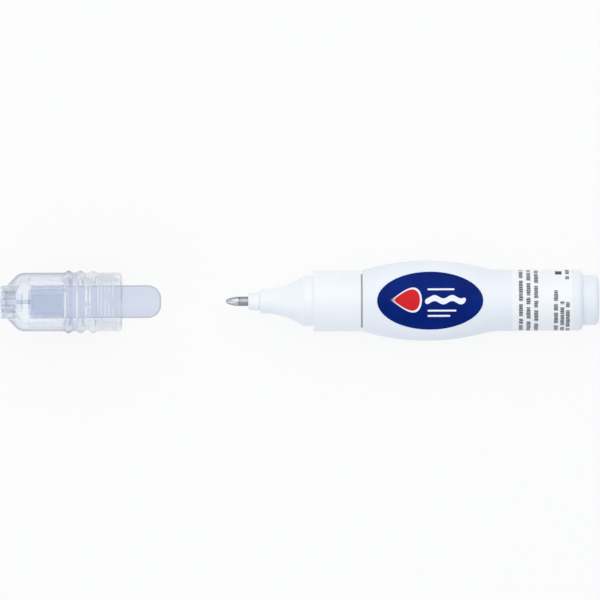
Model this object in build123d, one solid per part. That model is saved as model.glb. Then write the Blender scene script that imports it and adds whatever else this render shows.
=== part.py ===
from build123d import *

import os
from math import cos, radians, sin, sqrt

# A squeezable correction pen with a spring-valved ball tip, lying with its oval label up,
# and its clear clip cap pulled off and lying in line in front of the tip.
# X runs along the pen's axis towards the tail, and Z points up through the oval label.
# The origin is on the axis, in the face of the front sleeve where the cap stops.
# All lengths are in millimetres.

# Fits, as radial clearances
press_clearance = 0.02
cap_clearance = 0.05
rod_clearance = 0.14
film_clearance = 0.02
cut_overrun = 1.0

# Squeeze barrel: a round bottle that swells sideways and is flattened top and bottom
barrel_radius = 7.0
barrel_wall = 1.5
squeeze_wall = 1.0
shoulder_wall = 1.2
bulge_rise = 2.2
bulge_crest_distance = 14.9
bulge_blend_radius = 16.0
bulge_station_count = 11
squeeze_dip = 0.7
oval_face_angle = 30.0
barrel_end_margin = 2.45
barrel_end_round = 1.25

# Labels on the barrel
label_film = 0.1
oval_label_length = 24.3
oval_label_width = 13.3
oval_label_shift = 0.6
wrap_label_gap = 2.35
wrap_label_width = 13.85
wrap_label_open_angle = 10.0

# Front sleeve, which clamps the nose to the barrel's neck
sleeve_length = 10.95
sleeve_wall = 0.84
sleeve_seam_gap = 0.35
sleeve_land_length = 2.6
sleeve_edge_round = 0.35

# Neck of the barrel, with the bead that snaps into the front sleeve
neck_wall = 1.45
neck_bead_height = 0.2
neck_bead_width = 0.9
neck_bead_setback = 3.0

# Nose: flared cone, collar for the cap, flange, and skirt that plugs the neck
collar_length = 2.2
flare_length = 10.0
flare_lip = 0.48
flange_lip = 0.25
collar_relief = 0.17
flange_thickness = 1.3
skirt_length = 4.0
skirt_wall = 1.1
gasket_thickness = 0.7
gasket_inset = 0.15

# Metal tip and its ball
ball_radius = 0.4
ball_seat_clearance = 0.015
feed_radius = 0.5
capillary_radius = 0.3
capillary_length = 0.9
tip_length = 5.1
tip_straight_length = 2.1
tip_shoulder = 0.25
tip_shank_wall = 0.3
tip_shank_length = 3.6
tip_lip_overlap = 0.07
tip_lip_wall = 0.1

# Tip holder, the small tapered plastic ring in front of the cone
holder_length = 2.8
holder_ledge = 0.82
holder_taper = 0.38
holder_edge_round = 0.25
holder_groove_width = 0.3
holder_groove_depth = 0.2
holder_shank_wall = 0.73
holder_shank_length = 4.0

# Valve behind the ball
press_travel = 0.25
rod_gap = 0.02
rod_head_length = 0.7
rod_head_gap = 0.3
rod_tail_radius = 0.5
rod_tail_length = 2.0
spring_wire = 0.3
spring_clearance = 0.3
spring_turns = 7.5
chamber_clearance = 0.4
chamber_length = 7.0
retainer_ledge = 1.1
retainer_length = 2.0
retainer_spigot_length = 1.2
flow_hole_radius = 0.4
flow_hole_count = 3

# Tail plug, which also takes the cap while writing
tail_reach = 3.7
tail_depth = 5.0
tail_wall = 1.1
tail_end_round = 1.2
tail_bead_height = 0.15
tail_bead_width = 0.8
tail_bead_setback = 2.6

# Mixing ball that stirs the fluid when the pen is shaken
mixing_ball_radius = 2.0
mixing_ball_clearance = 0.15

# Cap: stepped shell with grip rings, conical end and crown recess
cap_wall = 0.96
cap_rest_gap = 23.9
cap_stop_gap = 0.05
cap_tip_gap = 0.4
cap_mouth_margin = 0.7
cap_mouth_chamfer = 0.2
cap_rim_round = 0.65
cap_bulkhead = 1.4
cap_cone_length = 3.3
cap_shoulder_round = 3.0
crown_depth = 4.05
crown_recess_radius = 2.3
crown_wall = 1.1
ring_height = 0.52
ring_width = 1.75
ring_pitch = 2.85
ring_first_distance = 6.6
ring_count = 3
cap_flat_wall = 1.0
cap_flat_margin = 0.4

# Soft seal pressed into the cap, which closes round the tip holder
seal_wall = 1.8
seal_clearance = 0.1
seal_base_thickness = 1.0
seal_mouth_gap = 1.3

# Clip on the cap: crown block, stiffening rib, pedestal and tongue
clip_width = 7.5
clip_thickness = 1.3
clip_ring_gap = 0.25
clip_reach = 9.1
clip_tip_round = 3.0
clip_edge_round = 0.3
clip_window_length = 3.4
clip_rib_width = 0.95
crown_block_length = 3.6
crown_block_overhang = 0.9
crown_block_gap = 0.7
crown_block_round = 2.0
crown_groove_width = 0.6
crown_groove_depth = 0.45
crown_groove_length = 2.4
crown_groove_pitch = 1.55
crown_groove_count = 4

# Radii that follow from those, from the barrel inwards and from the ball outwards
barrel_bore_radius = barrel_radius - barrel_wall
label_seat_radius = barrel_radius - label_film - film_clearance
tail_insert_radius = barrel_bore_radius - press_clearance
sleeve_bore_radius = barrel_radius - sleeve_wall
neck_radius = sleeve_bore_radius - press_clearance
neck_bore_radius = neck_radius - neck_wall
skirt_radius = neck_bore_radius - press_clearance
land_radius = neck_radius - flange_lip
collar_radius = land_radius - collar_relief
cap_bore_radius = collar_radius + cap_clearance
cap_radius = cap_bore_radius + cap_wall
cap_end_radius = crown_recess_radius + crown_wall
seat_radius = ball_radius + ball_seat_clearance
tip_lip_radius = ball_radius - tip_lip_overlap
tip_shank_radius = feed_radius + tip_shank_wall
tip_radius = tip_shank_radius + tip_shoulder
holder_shank_radius = tip_shank_radius + press_clearance + holder_shank_wall
holder_front_radius = tip_radius + holder_ledge
holder_rear_radius = holder_front_radius + holder_taper
flare_front_radius = holder_rear_radius + flare_lip
seal_bore_radius = holder_rear_radius + seal_clearance
seal_radius = seal_bore_radius + seal_wall
cap_inner_radius = seal_radius + press_clearance
rod_radius = capillary_radius - rod_clearance
spring_radius = rod_tail_radius + spring_clearance + spring_wire / 2
chamber_radius = spring_radius + spring_wire / 2 + chamber_clearance
retainer_radius = chamber_radius + retainer_ledge
flow_hole_ring_radius = (rod_tail_radius + chamber_radius) / 2

# Places along the axis, from the cap's stop face forwards
flare_end = -collar_length
nose_front = flare_end - flare_length
holder_front = nose_front - holder_length
holder_shank_end = nose_front + holder_shank_length
tip_apex = holder_front - tip_length
ball_center = tip_apex + ball_radius
tip_shank_end = holder_front + tip_shank_length
rod_head_start = holder_shank_end + rod_head_gap
rod_head_end = rod_head_start + rod_head_length
chamber_end = holder_shank_end + chamber_length
retainer_end = chamber_end + retainer_length

# Places along the axis, from the cap's stop face backwards
flange_start = sleeve_land_length
flange_end = flange_start + flange_thickness
skirt_end = flange_end + skirt_length
neck_front = flange_end + gasket_thickness
barrel_front = sleeve_length + sleeve_seam_gap
neck_bead_center = barrel_front - neck_bead_setback
bulge_crest = barrel_front + bulge_crest_distance

# Places on the cap, as distances from its rim towards the closed end
cap_rim = tip_apex - cap_rest_gap
cap_mouth_depth = cap_mouth_margin - nose_front
seal_mouth = seal_mouth_gap - nose_front
seal_floor = cap_tip_gap - cap_stop_gap - tip_apex
seal_base_end = seal_floor + seal_base_thickness
bulkhead_end = seal_base_end + cap_bulkhead
cap_length = bulkhead_end + crown_depth
cap_shoulder = cap_length - cap_cone_length
cap_flat_start = cap_mouth_depth + cap_flat_margin
crown_block_end = cap_length + crown_block_overhang
crown_block_start = crown_block_end - crown_block_length
clip_root = crown_block_start - clip_window_length

# Heights on the cap
cap_flat_height = cap_inner_radius + cap_flat_wall
clip_bottom = cap_radius + ring_height + clip_ring_gap
clip_top = clip_bottom + clip_thickness
crown_block_bottom = crown_recess_radius + crown_block_gap

# Outline of the bulge seen from above: one arc from the seam over the crest, then a hollow blend
bulge_arc_radius = (bulge_crest_distance**2 + bulge_rise**2) / (2 * bulge_rise)
blend_reach = sqrt(bulge_rise * (2 * (bulge_arc_radius + bulge_blend_radius) - bulge_rise))
blend_end = bulge_crest + blend_reach
blend_start = bulge_crest + blend_reach * bulge_arc_radius / (bulge_arc_radius + bulge_blend_radius)

# Places along the axis behind the bulge
wrap_label_start = blend_end + wrap_label_gap
wrap_label_end = wrap_label_start + wrap_label_width
barrel_rear = wrap_label_end + barrel_end_margin
tail_front = barrel_rear - tail_depth
tail_end = barrel_rear + tail_reach
tail_bead_center = barrel_rear - tail_bead_setback

# Height at which the mixing ball lies on the floor of the reservoir
mixing_ball_height = mixing_ball_radius + mixing_ball_clearance + squeeze_wall + squeeze_dip - barrel_radius


def outline(*pieces):
    """A closed face from lines and arcs, drawn as axial position and radius."""
    return make_face(Wire([edge for piece in pieces for edge in piece.edges()]))


def turned(*pieces):
    """A solid of revolution about the pen's axis."""
    return revolve(outline(*pieces), Axis.X)


def turned_points(*points):
    return turned(Polyline(*points, close=True))


def tube(start, end, outer, inner):
    return turned_points((start, inner), (start, outer), (end, outer), (end, inner))


def rod(start, end, radius):
    return turned_points((start, 0), (start, radius), (end, radius), (end, 0))


def snap_bead(center, radius, height, width):
    """A ring of trapezoid section that stands out of a shaft, with its foot sunk to half its width."""
    foot = radius - width / 2
    return turned_points(
        (center - width / 2, foot),
        (center - width / 2, radius),
        (center - width / 4, radius + height),
        (center + width / 4, radius + height),
        (center + width / 2, radius),
        (center + width / 2, foot),
    )


def bulge_half_width_at(x):
    if x <= blend_start:
        arc_height = sqrt(bulge_arc_radius**2 - (x - bulge_crest) ** 2)
        return barrel_radius + bulge_rise - bulge_arc_radius + arc_height
    if x >= blend_end:
        return barrel_radius
    return barrel_radius + bulge_blend_radius - sqrt(bulge_blend_radius**2 - (blend_end - x) ** 2)


def bulge_bump_at(x):
    """0 at the seam and at the blend's end, rising smoothly to 1 at the crest."""
    reach = bulge_crest_distance if x < bulge_crest else blend_reach
    away = min(1, abs(x - bulge_crest) / reach)
    return (1 - away**2) ** 2


def oval_section(x, half_width, half_depth):
    """A four-centre oval across the axis: two broad faces, top and bottom, joined by rounder sides."""
    turn = radians(oval_face_angle)
    spread = (half_width - half_depth) / (sin(turn) + cos(turn) - 1)
    side_radius = half_depth - spread * (1 - cos(turn))
    joint_y = half_width - side_radius + side_radius * sin(turn)
    joint_z = side_radius * cos(turn)
    corners = [(-joint_y, joint_z), (joint_y, joint_z), (joint_y, -joint_z), (-joint_y, -joint_z)]
    crowns = [(0, half_depth), (half_width, 0), (0, -half_depth), (-half_width, 0)]
    arcs = [
        ThreePointArc(start, crown, end)
        for start, crown, end in zip(corners, crowns, corners[1:] + corners[:1])
    ]
    return Plane.YZ.offset(x) * outline(*arcs)


def bulge_outside(growth):
    """The swollen front of the barrel, up to the wrap label, grown all round."""
    sections = []
    for step in range(bulge_station_count):
        x = barrel_front + (wrap_label_start - barrel_front) * step / (bulge_station_count - 1)
        half_depth = barrel_radius - squeeze_dip * bulge_bump_at(x)
        sections.append(oval_section(x, bulge_half_width_at(x) + growth, half_depth + growth))
    return loft(sections)


def bulge_inside():
    """The hollow of that stretch, behind the shoulder, with the wall thinned towards the crest."""
    front = barrel_front + shoulder_wall
    sections = []
    for step in range(bulge_station_count):
        x = front + (wrap_label_start - front) * step / (bulge_station_count - 1)
        bump = bulge_bump_at(x)
        wall = barrel_wall - (barrel_wall - squeeze_wall) * bump
        half_depth = barrel_radius - squeeze_dip * bump
        sections.append(oval_section(x, bulge_half_width_at(x) - wall, half_depth - wall))
    return loft(sections)


def squeeze_barrel():
    round_start = (barrel_rear - barrel_end_round, barrel_radius)
    round_end = (barrel_rear, barrel_radius - barrel_end_round)
    rear = turned(
        Polyline(
            (wrap_label_start, 0),
            (wrap_label_start, label_seat_radius),
            (wrap_label_end, label_seat_radius),
            (wrap_label_end, barrel_radius),
            round_start,
        ),
        TangentArc(round_start, round_end, tangent=(1, 0)),
        Polyline(round_end, (barrel_rear, 0), (wrap_label_start, 0)),
    )
    neck = rod(neck_front, barrel_front + shoulder_wall, neck_radius)
    neck_bead = snap_bead(neck_bead_center, neck_radius, neck_bead_height, neck_bead_width)
    neck_bore = rod(neck_front - cut_overrun, barrel_front + shoulder_wall + cut_overrun, neck_bore_radius)
    rear_bore = rod(wrap_label_start, barrel_rear + cut_overrun, barrel_bore_radius)
    tail_groove = snap_bead(
        tail_bead_center, barrel_bore_radius, tail_bead_height, tail_bead_width + 2 * press_clearance
    )
    hollow = bulge_inside() + rear_bore + neck_bore + tail_groove
    return bulge_outside(0) + rear + neck + neck_bead - hollow


def front_sleeve():
    land_bore = land_radius + press_clearance
    round_start = (0, barrel_radius - sleeve_edge_round)
    round_end = (sleeve_edge_round, barrel_radius)
    shell = turned(
        Polyline(
            (sleeve_length, sleeve_bore_radius),
            (flange_start, sleeve_bore_radius),
            (flange_start, land_bore),
            (0, land_bore),
            round_start,
        ),
        TangentArc(round_start, round_end, tangent=(0, 1)),
        Polyline(round_end, (sleeve_length, barrel_radius), (sleeve_length, sleeve_bore_radius)),
    )
    return shell - snap_bead(
        neck_bead_center, sleeve_bore_radius, neck_bead_height, neck_bead_width + 2 * press_clearance
    )


def nose_cone():
    body = turned(
        Polyline((nose_front, 0), (nose_front, flare_front_radius)),
        TangentArc((nose_front, flare_front_radius), (flare_end, collar_radius), tangent=(1, 0)),
        Polyline(
            (flare_end, collar_radius),
            (0, collar_radius),
            (0, land_radius),
            (flange_start, land_radius),
            (flange_start, neck_radius),
            (flange_end, neck_radius),
            (flange_end, skirt_radius),
            (skirt_end, skirt_radius),
            (skirt_end, 0),
            (nose_front, 0),
        ),
    )
    bores = (
        rod(nose_front - cut_overrun, holder_shank_end, holder_shank_radius + press_clearance)
        + rod(nose_front, chamber_end, chamber_radius)
        + rod(chamber_end, retainer_end, retainer_radius + press_clearance)
        + rod(retainer_end, skirt_end + cut_overrun, skirt_radius - skirt_wall)
    )
    return body - bores


def neck_gasket():
    return tube(flange_end, neck_front, neck_radius - gasket_inset, neck_bore_radius + gasket_inset)


def tip_holder():
    groove_start = nose_front - holder_groove_width
    slope = holder_taper / (groove_start - holder_front)
    round_start = (holder_front, holder_front_radius - holder_edge_round)
    round_end = (holder_front + holder_edge_round, holder_front_radius + slope * holder_edge_round)
    body = turned(
        Line((holder_front, 0), round_start),
        TangentArc(round_start, round_end, tangent=(0, 1)),
        Polyline(
            round_end,
            (groove_start, holder_rear_radius),
            (groove_start, holder_rear_radius - holder_groove_depth),
            (nose_front, holder_rear_radius - holder_groove_depth),
            (nose_front, holder_shank_radius),
            (holder_shank_end, holder_shank_radius),
            (holder_shank_end, 0),
            (holder_front, 0),
        ),
    )
    tip_socket = rod(holder_front - cut_overrun, tip_shank_end, tip_shank_radius + press_clearance)
    return body - tip_socket - rod(holder_front, holder_shank_end + cut_overrun, feed_radius)


def metal_tip():
    """An ogive with a spherical lip that keeps the ball in, and a stepped bore for the fluid behind it."""
    lip = ball_center - sqrt(seat_radius**2 - tip_lip_radius**2)
    lip_edge = (lip, tip_lip_radius + tip_lip_wall)
    ogive_end = (holder_front - tip_straight_length, tip_radius)
    seat_back = ball_center + press_travel
    funnel_end = seat_back + seat_radius
    return turned(
        Line((lip, tip_lip_radius), lip_edge),
        TangentArc(ogive_end, lip_edge, tangent=(-1, 0)),
        Polyline(
            ogive_end,
            (holder_front, tip_radius),
            (holder_front, tip_shank_radius),
            (tip_shank_end, tip_shank_radius),
            (tip_shank_end, feed_radius),
            (funnel_end + capillary_length, feed_radius),
            (funnel_end + capillary_length, capillary_radius),
            (funnel_end, capillary_radius),
            (seat_back, seat_radius),
            (ball_center, seat_radius),
        ),
        TangentArc((ball_center, seat_radius), (lip, tip_lip_radius), tangent=(-1, 0)),
    )


def writing_ball():
    return Pos(ball_center, 0, 0) * Sphere(ball_radius)


def valve_rod():
    pin = rod(ball_center + ball_radius + rod_gap, rod_head_end, rod_radius)
    head = rod(rod_head_start, rod_head_end, spring_radius)
    return pin + head + rod(rod_head_start, rod_head_end + rod_tail_length, rod_tail_radius)


def valve_spring():
    """A coil between the rod's head and the retainer, swept on two arcs for each quarter turn."""
    start = rod_head_end + spring_wire / 2 + press_clearance
    end = chamber_end - spring_wire / 2 - press_clearance
    quarters = round(4 * spring_turns)
    quarter_turn = radians(90)
    rise = (end - start) / quarters
    places, headings = [], []
    for step in range(quarters + 1):
        turn = step * quarter_turn
        places.append(Vector(start + step * rise, spring_radius * cos(turn), spring_radius * sin(turn)))
        heading = Vector(rise / quarter_turn, -spring_radius * sin(turn), spring_radius * cos(turn))
        headings.append(heading.normalized())
    arcs = []
    for first, second, out, into in zip(places, places[1:], headings, headings[1:]):
        chord = second - first
        along = chord.dot(out + into)
        bend = 2 * (1 - out.dot(into))
        arm = (sqrt(along**2 + bend * chord.dot(chord)) - along) / bend
        first_knee = first + out * arm
        second_knee = second - into * arm
        middle = (first_knee + second_knee) * 0.5
        arcs.append(TangentArc(first, middle, tangent=out))
        arcs.append(TangentArc(middle, second, tangent=second_knee - first_knee))
    section = Plane(places[0], z_dir=headings[0]) * Circle(spring_wire / 2)
    return sweep(section, path=Wire([arc.edge() for arc in arcs]))


def spring_retainer():
    plug = rod(chamber_end, retainer_end, retainer_radius)
    spigot = rod(chamber_end - retainer_spigot_length, retainer_end, rod_tail_radius)
    hole = rod(chamber_end - cut_overrun, retainer_end + cut_overrun, flow_hole_radius)
    for step in range(flow_hole_count):
        plug -= Rot(X=360 * step / flow_hole_count) * Pos(0, 0, flow_hole_ring_radius) * hole
    return plug + spigot


def mixing_ball():
    return Pos(bulge_crest, 0, mixing_ball_height) * Sphere(mixing_ball_radius)


def tail_plug():
    """A hollow plug whose post outside is as thick as the collar, so that the cap fits on it too."""
    bore_radius = tail_insert_radius - tail_wall
    round_start = (tail_end - tail_end_round, collar_radius)
    round_end = (tail_end, collar_radius - tail_end_round)
    cup = turned(
        Polyline(
            (tail_front, bore_radius),
            (tail_front, tail_insert_radius),
            (barrel_rear, tail_insert_radius),
            (barrel_rear, collar_radius),
            round_start,
        ),
        TangentArc(round_start, round_end, tangent=(1, 0)),
        Polyline(
            round_end,
            (tail_end, 0),
            (tail_end - tail_wall, 0),
            (tail_end - tail_wall, bore_radius),
            (tail_front, bore_radius),
        ),
    )
    return cup + snap_bead(tail_bead_center, tail_insert_radius, tail_bead_height, tail_bead_width)


def oval_label():
    film = bulge_outside(film_clearance + label_film) - bulge_outside(film_clearance)
    oval = Pos(bulge_crest + oval_label_shift, 0, 0) * Ellipse(oval_label_length / 2, oval_label_width / 2)
    return film & extrude(oval, barrel_radius + cut_overrun)


def wrap_label():
    film = tube(
        wrap_label_start + film_clearance,
        wrap_label_end - film_clearance,
        barrel_radius,
        barrel_radius - label_film,
    )
    open_width = 2 * barrel_radius * sin(radians(wrap_label_open_angle / 2))
    opening = Box(wrap_label_width + cut_overrun, open_width, barrel_radius)
    return film - Pos((wrap_label_start + wrap_label_end) / 2, 0, -barrel_radius) * opening


def cap_side(distance, radius):
    """A point of the cap's section, at a distance behind the rim."""
    return (cap_rim - distance, radius)


def cap_block(near, far, width, bottom, top):
    """A block on the cap from one distance behind the rim to another, centred across the pen."""
    center = Pos(cap_rim - (near + far) / 2, 0, (bottom + top) / 2)
    return center * Box(far - near, width, top - bottom)


def cap_body():
    profile = make_face(
        Polyline(
            cap_side(0, cap_bore_radius + cap_mouth_chamfer),
            cap_side(0, cap_radius),
            cap_side(cap_shoulder, cap_radius),
            cap_side(cap_length, cap_end_radius),
            cap_side(cap_length, crown_recess_radius),
            cap_side(bulkhead_end, crown_recess_radius),
            cap_side(bulkhead_end, 0),
            cap_side(seal_base_end, 0),
            cap_side(seal_base_end, cap_inner_radius),
            cap_side(cap_mouth_depth, cap_inner_radius),
            cap_side(cap_mouth_depth, cap_bore_radius),
            cap_side(cap_mouth_chamfer, cap_bore_radius),
            close=True,
        )
    )
    for distance, corner_round in ((0, cap_rim_round), (cap_shoulder, cap_shoulder_round)):
        corner = profile.vertices().sort_by_distance(cap_side(distance, cap_radius))[0]
        profile = fillet(corner, corner_round)
    return revolve(profile, Axis.X)


def grip_ring(center):
    start = cap_side(center - ring_width / 2, cap_radius)
    end = cap_side(center + ring_width / 2, cap_radius)
    foot = cap_radius - ring_height
    return turned(
        ThreePointArc(start, cap_side(center, cap_radius + ring_height), end),
        Polyline(
            end,
            cap_side(center + ring_width / 2, foot),
            cap_side(center - ring_width / 2, foot),
            start,
        ),
    )


def clip():
    """The flat tongue, the pedestal that carries it and the rib to the crown block."""
    tongue_length = clip_root + clip_reach
    tongue = Pos(cap_rim + clip_reach - tongue_length / 2, 0, 0) * Rectangle(tongue_length, clip_width)
    tongue = fillet(tongue.vertices().group_by(Axis.X)[-1], clip_tip_round)
    tongue = extrude(Pos(0, 0, clip_bottom) * tongue, clip_thickness)
    tongue = fillet(tongue.edges().group_by(Axis.Z)[-1], clip_edge_round)
    foot = cap_flat_height - clip_edge_round
    pedestal = cap_block(cap_flat_start, clip_root, clip_width, foot, clip_bottom)
    rib_end = crown_block_start + clip_rib_width
    rib = cap_block(cap_flat_start, rib_end, clip_rib_width, foot, clip_top - clip_edge_round)
    bulkhead_middle = (seal_base_end + bulkhead_end) / 2
    rib_root = cap_block(bulkhead_middle, rib_end, clip_rib_width, crown_block_bottom, clip_bottom)
    return tongue + pedestal + rib + rib_root


def crown_block():
    """The clip's root over the closed end, rounded outside and grooved on top."""
    profile = make_face(
        Polyline(
            cap_side(crown_block_start, crown_block_bottom),
            cap_side(crown_block_start, clip_top),
            cap_side(crown_block_end, clip_top),
            cap_side(crown_block_end, crown_block_bottom),
            close=True,
        )
    )
    profile = fillet(profile.vertices().group_by(Axis.X)[0], crown_block_round)
    block = extrude(Plane.XZ * profile, clip_width / 2, both=True)
    groove = cap_block(
        crown_block_end - crown_groove_length,
        crown_block_end + cut_overrun,
        crown_groove_width,
        clip_top - crown_groove_depth,
        clip_top + cut_overrun,
    )
    for step in range(crown_groove_count):
        block -= Pos(0, (step - (crown_groove_count - 1) / 2) * crown_groove_pitch, 0) * groove
    return block


def cap_shell():
    shell = cap_body()
    for step in range(ring_count):
        shell += grip_ring(ring_first_distance + step * ring_pitch)
    flat = cap_block(
        cap_flat_start,
        crown_block_start,
        2 * cap_radius,
        cap_flat_height,
        cap_radius + cut_overrun,
    )
    return shell - flat + clip() + crown_block()


def cap_seal():
    return turned_points(
        cap_side(seal_base_end, 0),
        cap_side(seal_base_end, seal_radius),
        cap_side(seal_mouth, seal_radius),
        cap_side(seal_mouth, seal_bore_radius),
        cap_side(seal_floor, seal_bore_radius),
        cap_side(seal_floor, 0),
    )


pieces = (
    squeeze_barrel,
    front_sleeve,
    nose_cone,
    neck_gasket,
    tip_holder,
    metal_tip,
    writing_ball,
    valve_rod,
    valve_spring,
    spring_retainer,
    mixing_ball,
    tail_plug,
    oval_label,
    wrap_label,
    cap_shell,
    cap_seal,
)

os.makedirs("parts", exist_ok=True)
for piece in pieces:
    export_step(piece(), f"parts/{piece.__name__}.step")
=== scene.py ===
import math

import bmesh
import bpy
import numpy as np
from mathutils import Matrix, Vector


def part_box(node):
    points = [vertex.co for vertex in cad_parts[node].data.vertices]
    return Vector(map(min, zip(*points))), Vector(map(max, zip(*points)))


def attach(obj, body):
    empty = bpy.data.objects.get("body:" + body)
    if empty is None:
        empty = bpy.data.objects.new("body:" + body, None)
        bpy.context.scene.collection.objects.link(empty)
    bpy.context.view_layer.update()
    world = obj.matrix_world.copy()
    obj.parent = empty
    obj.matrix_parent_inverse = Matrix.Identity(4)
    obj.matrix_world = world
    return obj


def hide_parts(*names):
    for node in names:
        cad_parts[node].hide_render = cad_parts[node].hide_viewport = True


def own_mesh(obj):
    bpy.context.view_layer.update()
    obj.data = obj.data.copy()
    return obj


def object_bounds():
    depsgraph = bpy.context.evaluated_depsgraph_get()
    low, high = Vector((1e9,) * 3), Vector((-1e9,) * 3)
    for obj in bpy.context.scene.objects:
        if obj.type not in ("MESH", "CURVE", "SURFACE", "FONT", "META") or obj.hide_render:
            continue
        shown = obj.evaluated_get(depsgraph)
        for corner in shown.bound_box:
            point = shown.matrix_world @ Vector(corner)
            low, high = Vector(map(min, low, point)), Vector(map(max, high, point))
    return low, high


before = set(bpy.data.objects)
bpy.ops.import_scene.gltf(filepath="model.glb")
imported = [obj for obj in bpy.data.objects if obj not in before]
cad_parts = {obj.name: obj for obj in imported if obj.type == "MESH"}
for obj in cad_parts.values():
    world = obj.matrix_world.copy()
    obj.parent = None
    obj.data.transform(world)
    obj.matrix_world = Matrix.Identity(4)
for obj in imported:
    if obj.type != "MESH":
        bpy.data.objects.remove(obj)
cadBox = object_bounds()     # the box of the CAD model, before anything is added
mm = 0.001               # shapes and patterns below are drawn in millimetres
print("frame loaded with", len(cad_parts), "nodes")


# Tools for surfaces

surfaceForm = {
    "columns": 192,                      # steps round a turned piece
    "runStep": 0.25,                     # spacing of rows along a straight run
    "arcStep": math.radians(9),          # spacing of rows round a corner
    "faceAngle": math.radians(30),       # half the spread of an oval's broad faces
    "sharpAngle": math.radians(35),      # edges that turn by more stay crisp
    "mergeDistance": 1e-7,               # closes seams and poles, in metres
    "same": 1e-6,                        # measures that differ by less are taken as equal
    "slabCornerSteps": 10,               # points round a slab's corner
    "slabEdgeSteps": 5,                  # rows round a slab's edge
}


def nodeSpan(node):  # where a node starts and ends along the pen, and its half width, in millimetres
    low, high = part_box(node)
    return low.x / mm, high.x / mm, (high.y - low.y) / 2 / mm


def fullTurn(steps):  # angles evenly spaced all round
    return np.linspace(0, 2 * math.pi, steps, endpoint=False)


def levelArc(length, rise):  # radius of an arc that is level at one end and rises this much over the length
    return (length**2 + rise**2) / (2 * rise)


def straightRun(start, end, step):  # evenly spaced points after start and before end
    count = max(1, int(np.linalg.norm(end - start) / step))
    return start + (end - start) * (np.arange(1, count) / count)[:, None]


def filletedLine(*corners, step=surfaceForm["runStep"]):
    # straight runs joined by tangent arcs, from corners (place, radius, fillet)
    corners = np.array(corners, float)
    spots, fillets = corners[:, :2], corners[:, 2]
    ways = np.diff(spots, axis=0)
    ways /= np.linalg.norm(ways, axis=1)[:, None]
    pieces = [spots[:1]]
    for spot, fillet, along, onward in zip(spots[1:-1], fillets[1:-1], ways[:-1], ways[1:]):
        turn = math.acos(np.clip(along @ onward, -1, 1))
        start = spot - along * fillet * math.tan(turn / 2)
        aside = onward - along * (along @ onward)
        centre = start + aside / np.linalg.norm(aside) * fillet
        sweep = np.linspace(0, turn, 2 + int(turn / surfaceForm["arcStep"]) if fillet else 1)[:, None]
        arc = centre + (start - centre) * np.cos(sweep) + along * fillet * np.sin(sweep)
        pieces += [straightRun(pieces[-1][-1], start, step), arc]
    return np.vstack(pieces + [straightRun(pieces[-1][-1], spots[-1], step), spots[-1:]])


def snapBead(centre, radius, form, fillet):  # corners of a low bead round a piece of that radius
    foot, top, height = form    # half widths at its foot and top, and its height
    return (
        (centre - foot, radius, 0),
        (centre - top, radius + height, fillet),
        (centre + top, radius + height, fillet),
        (centre + foot, radius, 0),
    )


def turnedRows(line):  # an outline of (place, radius) as rows of (place, half width, half depth)
    return line[:, [0, 1, 1]]


def ovalArcs(wide, deep):
    # a four-centre oval with those half axes: radius and centre of its side arcs, then of its face arcs
    faceAngle = surfaceForm["faceAngle"]
    lean = math.tan(faceAngle / 2)
    sideRadius = (deep - wide * lean) / (1 - lean)
    sideCentre = wide - sideRadius
    faceRadius = sideRadius + sideCentre / math.sin(faceAngle)
    return sideRadius, sideCentre, faceRadius, sideCentre / math.tan(faceAngle)


def ovalGrid(rows, columns=surfaceForm["columns"]):
    # each row is an oval across the axis: an arc's centre plus its radius times the normal,
    # for normals all round
    place, wide, deep = rows.T[:, :, None]
    turn = fullTurn(columns)[None]
    across, up = np.sin(turn), np.cos(turn)
    sideRadius, sideCentre, faceRadius, faceCentre = ovalArcs(wide, deep)
    onFace = np.abs(up) >= math.cos(surfaceForm["faceAngle"]) - surfaceForm["same"]
    radius = np.where(onFace, faceRadius, sideRadius)
    y = radius * across + np.where(onFace, 0, np.sign(across) * sideCentre)
    z = radius * up - np.where(onFace, np.sign(up) * faceCentre, 0)
    return np.stack(np.broadcast_arrays(place, y, z), -1)


def closedEnds(grid):  # adds a row at each end that draws the section together in its middle
    ends = [np.broadcast_to(row.mean(0), row.shape)[None] for row in (grid[0], grid[-1])]
    return np.concatenate([ends[0], grid, ends[1]])


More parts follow.
